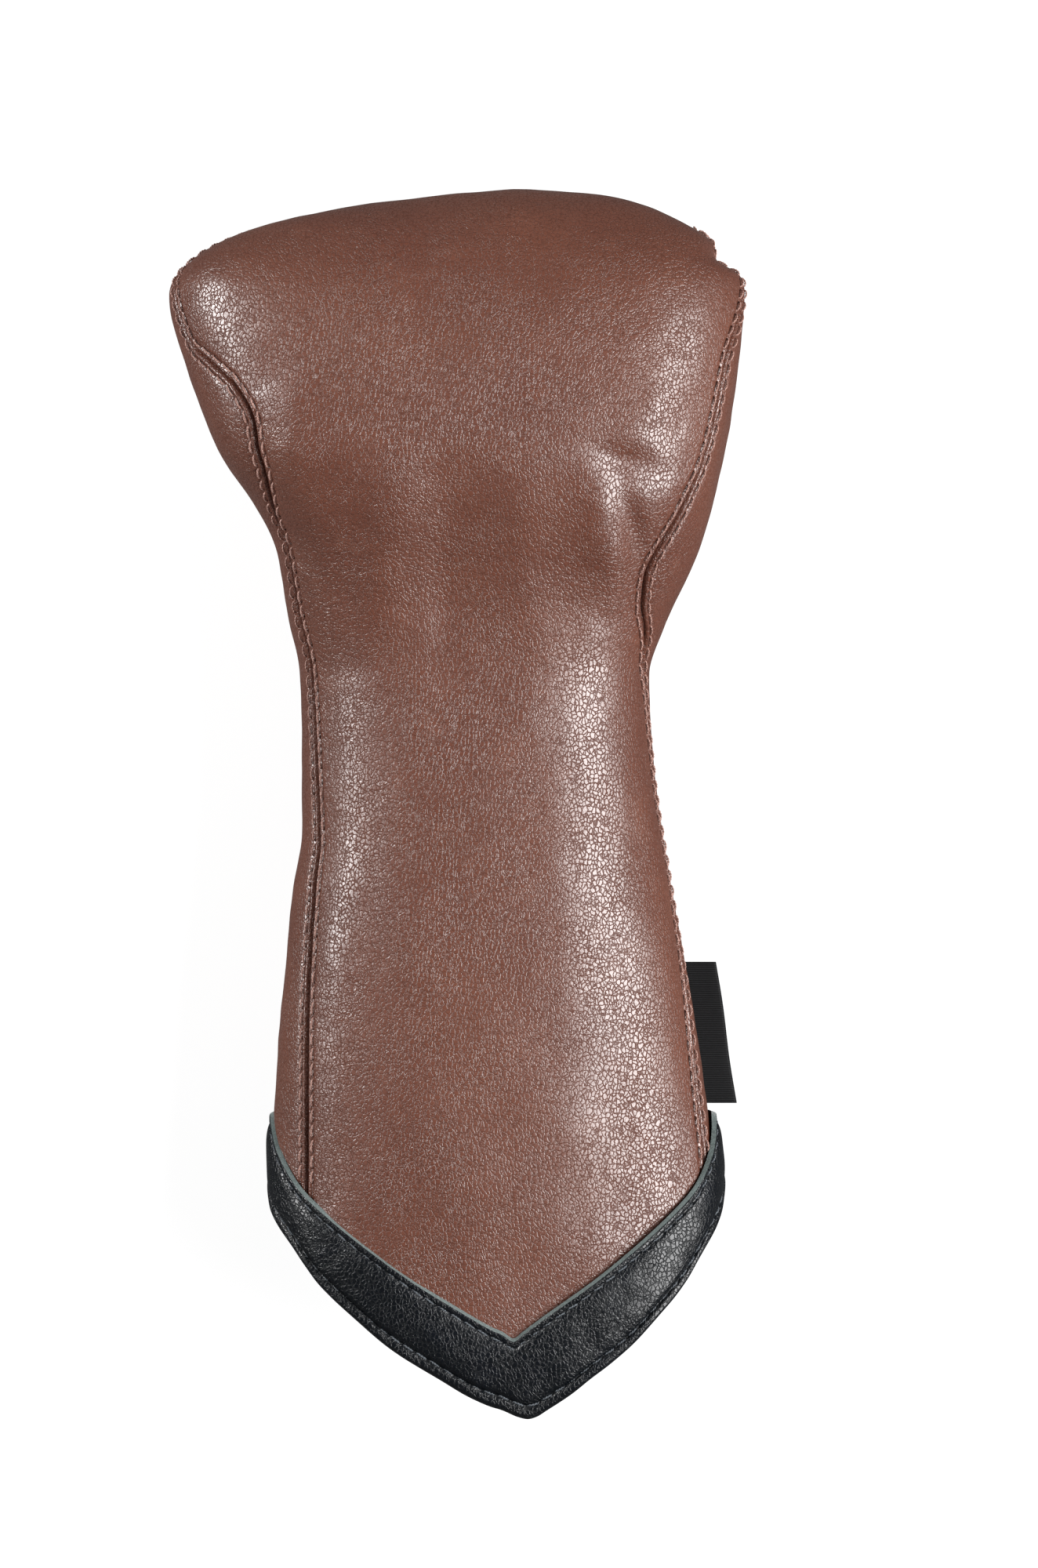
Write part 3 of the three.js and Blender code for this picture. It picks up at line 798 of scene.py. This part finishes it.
def ply(core, across, up, base):
    """A tapered thread round a core line, its points numbered from base."""
    rings, sides = len(core), 5
    vertices = []
    for ring in range(rings):
        thick = THREAD * (0.7 if ring in (0, rings - 1) else 1.0)
        for side in range(sides):
            angle = 2 * math.pi * side / sides
            reach = across[ring] * math.cos(angle) + up[ring] * math.sin(angle)
            vertices.append(core[ring] + thick * reach)
    faces = []
    for ring in range(rings - 1):
        for side in range(sides):
            a = base + ring * sides + side
            b = base + ring * sides + (side + 1) % sides
            faces.append((a, b, b + sides, a + sides))
    faces.append(tuple(base + side for side in range(sides))[::-1])
    faces.append(tuple(base + (rings - 1) * sides + side for side in range(sides)))
    return vertices, faces


def stitch_row(line, height, phase=0.0):
    """Two-ply stitches along a line: each rises out of a hole, lies flat and goes back in."""
    points, run = spaced_evenly(line, 0.2)
    normals = outward(points)
    share = np.linspace(0, 1, 15)
    # Each stitch dips at both ends, and leans a little across its row.
    arch = height - 0.85 * (1 - np.sin(math.pi * share) ** 0.45)
    lean = (share - 0.5) * 0.35
    vertices, faces = [], []
    for i in range(int((run[-1] - phase) / STITCH)):
        start = phase + i * STITCH + STITCH_GAP
        at = np.linspace(start, start + STITCH - 2 * STITCH_GAP, len(share))
        centre = np.stack([np.interp(at, run, points[:, k]) for k in range(3)], axis=-1)
        up = unit(np.stack([np.interp(at, run, normals[:, k]) for k in range(3)], axis=-1))
        across = np.cross(unit(np.gradient(centre, axis=0)), up)
        middle = centre + up * arch[:, None] + across * lean[:, None]
        for k in range(PLIES):
            twist = 2 * math.pi * (k / PLIES + 2.2 * share)
            offset = across * np.cos(twist)[:, None] + up * np.sin(twist)[:, None]
            more_vertices, more_faces = ply(middle + offset * THREAD * 0.8, across, up, len(vertices))
            vertices += more_vertices
            faces += more_faces
    return np.array(vertices), faces


def seam_stitches():
    """Two rows beside each gusset seam, from trim to trim, and two beside the cross seam."""
    clear_of_trim = TRIM_TOP + 0.3
    for side in ("left", "right"):
        line = SEAMS[side]
        hem_front = line[0, 1]
        keep = np.ones(len(line), bool)
        top = int(np.argmax(line[:, 1]))
        index = np.arange(len(line))
        keep &= ~((index < top) & (line[:, 1] < hem_front + clear_of_trim))
        keep &= ~((index > top) & (line[:, 1] < SIDE_HEM + clear_of_trim))
        line = line[keep]
        sign = 1 if side == "left" else -1
        for name, shift, phase in (("panel_row", ROW_OFFSET, 0.0), ("gusset_row", -ROW_OFFSET, 1.3)):
            vertices, faces = stitch_row(shifted(line, sign * shift), -ROW_SINK, phase)
            piece = new_piece(f"stitches_{side}_{name}", vertices, faces, [brown_thread])
            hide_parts(f"{side}_{name}")
    for name, height, edge in (
        ("crown_row_upper", GUSSET_TOP + ROW_OFFSET, 0.06),
        ("crown_row_lower", GUSSET_TOP - ROW_OFFSET, 0.1),
    ):
        turns = np.linspace(math.pi + edge + 0.06, 2 * math.pi - edge - 0.06, 200)
        vertices, faces = stitch_row(surface(np.full_like(turns, height), turns), -ROW_SINK)
        piece = new_piece(f"stitches_{name}", vertices, faces, [brown_thread])
        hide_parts(name)


# ---- Trim ------------------------------------------------------------------------------------------
# Outline of the black band round the hem: (rise over the leather's edge, height over the leather).
TRIM_OUTER = through(
    [
        (-2.0, -0.6), (-1.75, 0.35), (-1.1, 1.2), (-0.2, 1.65), (0.9, 1.6), (1.5, 1.35), TRIM_LOWER_ROW,
        (2.8, 1.4), (4.2, 1.95), (8, 2.15), (13, 1.95), (15.2, 1.6), TRIM_UPPER_ROW,
        (17, 1.45), (17.8, 1.5), (TRIM_TOP, 1.35),
    ]
)
TRIM_RISES = np.concatenate(
    [np.linspace(-2, 3.2, 27), np.linspace(3.6, 14.6, 22), np.linspace(15, TRIM_TOP, 15)]
)
TRIM_INNER = [
    (18.9, 0.1), (10, 0.1), (0.5, 0.0), (0.2, -1.6), (0.5, -2.0), (12.6, -2.0), (13.2, -2.6),
    (12.8, -3.3), (9, -3.5), (4, -3.5), (1, -3.4), (-0.6, -2.9), (-1.6, -1.9),
]
TAPER_FROM, TAPER_OVER = 3.5, 11  # where in the band the upper edge's extra height comes in
TRIM_GROOVE = 0.8


def trim_band(name, start, end, count):
    """One run of the folded band, whose upper cut edge shows the raw leather."""
    turns = np.linspace(start, end, count)
    outer = [(rise, float(TRIM_OUTER(rise))) for rise in TRIM_RISES]
    outline = outer + TRIM_INNER
    hem = hem_at(turns)
    taller = trim_extra(turns)
    grid = []
    for rise, height in outline:
        outside = height > 0
        share = min(1, max(0, (rise - TAPER_FROM) / TAPER_OVER)) if outside else 0
        base = surface(hem + rise + taller * share, turns)
        lift = np.full(count, height)
        if rise < TRIM_TOP and outside:
            run = np.concatenate([[0], np.cumsum(np.linalg.norm(np.diff(base, axis=0), axis=1))])
            lift = lift + 0.12 * middle_waves(base * 1.3) + 0.05 * fine_waves(base)
            groove = sum(
                math.exp(-(((rise - row[0]) / TRIM_GROOVE) ** 2)) for row in (TRIM_LOWER_ROW, TRIM_UPPER_ROW)
            )
            lift = lift - 0.12 * groove * np.cos(2 * math.pi * run / STITCH)
        grid.append(base + outward(base) * lift[:, None])
    grid = np.stack(grid, axis=1)
    rows, around = grid.shape[:2]
    faces = tube_faces(rows, around, closed=False)
    cut_edge = len(outer) - 1
    marks = [int(j == cut_edge) for i in range(rows - 1) for j in range(around)] + [0, 0]
    piece = new_piece(name, grid.reshape(-1, 3), faces, [black_leather, raw_edge])
    for polygon, mark in zip(piece.data.polygons, marks):
        polygon.material_index = mark
        polygon.use_smooth = mark == 0
    return piece


def trim():
    gap = 0.002
    runs = (("front", gap, math.pi - gap, 380), ("back", math.pi + gap, 2 * math.pi - gap, 260))
    for face, start, end, count in runs:
        piece = trim_band(f"trim_{face}", start, end, count)
        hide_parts(f"hem_trim_{face}")
    turns = np.linspace(0, 2 * math.pi, 1200)
    rows = (("trim_row_upper", TRIM_UPPER_ROW, trim_extra(turns)), ("trim_row_lower", TRIM_LOWER_ROW, 0))
    for name, (rise, height), taller in rows:
        line = surface(hem_at(turns) + rise + taller, turns)
        vertices, faces = stitch_row(line, height + 0.12)
        piece = new_piece(f"stitches_{name}", vertices, faces, [black_thread])
        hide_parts(name)


# ---- Inside ----------------------------------------------------------------------------------------
def inner_layer(name, which, look, depth, thickness, low, raise_hem, margin, uneven):
    """A soft layer under one panel, at a depth, with a slightly uneven inner face."""
    shares = np.linspace(0, 1, {"front": 60, "back": 50, "left": 22, "right": 22}[which])
    crown_rows = np.linspace(0, 1, 36) if which == "front" else None
    top = GUSSET_TOP - (0 if which == "front" else margin)
    heights, turns = panel_grid(which, low, top, 3.0, shares, margin, raise_hem, crown_rows)
    base = surface(heights, turns)
    normal = outward(base)
    swell = uneven * waves(21, 9)(base)
    outer = base - normal * depth
    inner = base - normal * (depth + thickness + swell)[..., None]
    vertices, faces = wall(outer, inner)
    return new_piece(name, vertices, faces, [look])


def linings_and_padding():
    for which in ("front", "back", "left", "right"):
        lining = inner_layer(
            f"fleece_{which}", which, fleece, depth=6.3, thickness=1.4, low=SIDE_HEM, raise_hem=6.0,
            margin=0.4, uneven=0.12,
        )
        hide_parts(f"lining_{which}")
        pad = inner_layer(
            f"foam_{which}", which, foam, depth=3.6, thickness=1.8, low=45.0, raise_hem=0.0,
            margin=1.2, uneven=0.05,
        )
        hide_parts(f"padding_{which}")


def swept(outline_at, stations, closed):
    """Vertices and faces of an outline carried along stations."""
    rings = np.array([outline_at(station) for station in stations])
    return rings.reshape(-1, 3), tube_faces(*rings.shape[:2], closed)


def elastic_and_tapes():
    outline = [(3.6, -6), (3.6, 28), (4.6, 28), (4.6, -6)]

    def ring(turn):
        gather = 0.12 * math.sin(turn * 60)
        return [under(rise, turn, depth + gather).tolist() for depth, rise in outline]

    vertices, faces = swept(ring, np.linspace(0, 2 * math.pi, 240, endpoint=False), True)
    piece = new_piece("elastic_band", vertices, faces, [elastic_web])
    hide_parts("waist_elastic")
    for side in ("left", "right"):
        line, run = spaced_evenly(SEAMS[side], 1.5)
        line = line[12:-12]
        edges = [shifted(line, shift) for shift in (-3.0, -1.5, 0.0, 1.5, 3.0)]
        grid = np.stack(edges, axis=1)
        normal = outward(grid)
        if side == "left":
            grid, normal = grid[:, ::-1], normal[:, ::-1]
        vertices, faces = wall(grid - normal * 2.6, grid - normal * 3.2)
        piece = new_piece(f"tape_{side}", vertices, faces, [seam_tape])
        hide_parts(f"{side}_seam_tape")


# ---- Ribbon tab ------------------------------------------------------------------------------------
def ribbon_tab():
    """A ribbon folded in two, its open edges at the right back seam."""
    low, high = (np.array(corner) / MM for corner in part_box("label_tab"))
    joint = frame["record"]["behaviour"]["joints"][0]
    axis = np.array(joint["axis"])
    middle = np.array(joint["pos_m"]) / MM
    reach = 15.6  # from the seam to the fold
    ribbon = 0.5
    inside = 0.3  # half the gap between the two legs
    face = inside + ribbon
    straight = reach - face
    bend = [(straight + face * math.sin(a), face * math.cos(a)) for a in np.linspace(0, math.pi, 13)]
    inner = [(straight + inside * math.sin(a), inside * math.cos(a)) for a in np.linspace(math.pi, 0, 9)]
    outer_leg = [(x, face) for x in np.linspace(0, straight, 9)[:-1]]
    outer_back = [(x, -face) for x in np.linspace(straight, 0, 9)[1:]]
    inner_leg = [(x, -inside) for x in np.linspace(0, straight, 7)[:-1]]
    inner_back = [(x, inside) for x in np.linspace(straight, 0, 7)[1:]]
    outline = outer_leg + bend + outer_back + inner_leg + inner + inner_back
    half = (high[1] - low[1]) / 2

    def ring(along):
        root = middle + axis * along / axis[1]
        sag = 0.25 * math.sin(along / 9.0)
        sway = 0.15 * math.sin(along / 5.0)
        points = []
        for x, z in outline:
            out = x / reach
            points.append((root[0] + x + sway * out, root[1], root[2] + z + sag * out**2))
        return points[::-1]

    vertices, faces = swept(ring, np.linspace(-half, half, 90), False)
    piece = new_piece("ribbon_tab", vertices, faces, [black_ribbon], body="tab")
    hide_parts("label_tab")


# ---- Camera, floor and lights ----------------------------------------------------------------------
def camera():
    """Straight above the cover; the frame's long side covers 432 mm at the cover's middle height."""
    data = bpy.data.cameras.new("camera")
    piece = bpy.data.objects.new("camera", data)
    bpy.context.scene.collection.objects.link(piece)
    distance = 1500 * MM
    tall = 432 * MM
    middle_height = 38 * MM
    data.sensor_width = 36
    data.lens = data.sensor_width * distance / tall
    piece.location = (16.7 * MM, 5.4 * MM, middle_height + distance)
    bpy.context.scene.camera = piece


def floor():
    """A white table, faintly lit from below as a product table is, so that shadows stay pale."""
    mesh = bpy.data.meshes.new("floor")
    size = 3.0
    corners = [(-size, -size, 0), (size, -size, 0), (size, size, 0), (-size, size, 0)]
    mesh.from_pydata(corners, [], [(0, 1, 2, 3)])
    look = Nodes("floor")
    grain = look.noise(3.0)
    mesh.materials.append(look.finish(look.mix(grain, (0.2, 0.2, 0.2, 1), (0.22, 0.22, 0.22, 1)), 0.9))
    look.shader.inputs["Specular IOR Level"].default_value = 0.0
    look.shader.inputs["Emission Color"].default_value = (1, 1, 1, 1)
    look.shader.inputs["Emission Strength"].default_value = 0.86
    piece = bpy.data.objects.new("floor", mesh)
    bpy.context.scene.collection.objects.link(piece)
    # The table stays out of the leather's reflections, as if flagged off with black card.
    piece.visible_glossy = False


def area_light(name, place, size, power):
    data = bpy.data.lights.new(name, "AREA")
    data.shape = "RECTANGLE"
    data.size, data.size_y = size
    data.energy = power
    piece = bpy.data.objects.new(name, data)
    bpy.context.scene.collection.objects.link(piece)
    piece.location = place
    aim = Vector((0, 0, 0.04)) - Vector(place)
    piece.rotation_euler = aim.to_track_quat("-Z", "Y").to_euler()


def studio():
    """A broad softbox on the right, a narrow weaker one on the left, and a dim white room."""
    area_light("right_box", (0.77, -0.04, 0.67), (0.9, 0.6), 18.0)
    area_light("left_box", (-0.87, 0.36, 0.52), (0.75, 0.14), 11.5)
    world = bpy.data.worlds.new("studio")
    world.use_nodes = True
    world.node_tree.nodes["Background"].inputs["Color"].default_value = (1, 1, 1, 1)
    world.node_tree.nodes["Background"].inputs["Strength"].default_value = 0.12
    bpy.context.scene.world = world
    bpy.context.scene.view_settings.view_transform = "Standard"


camera()
floor()
studio()
leather_panels()
seam_stitches()
trim()
linings_and_padding()
elastic_and_tapes()
ribbon_tab()
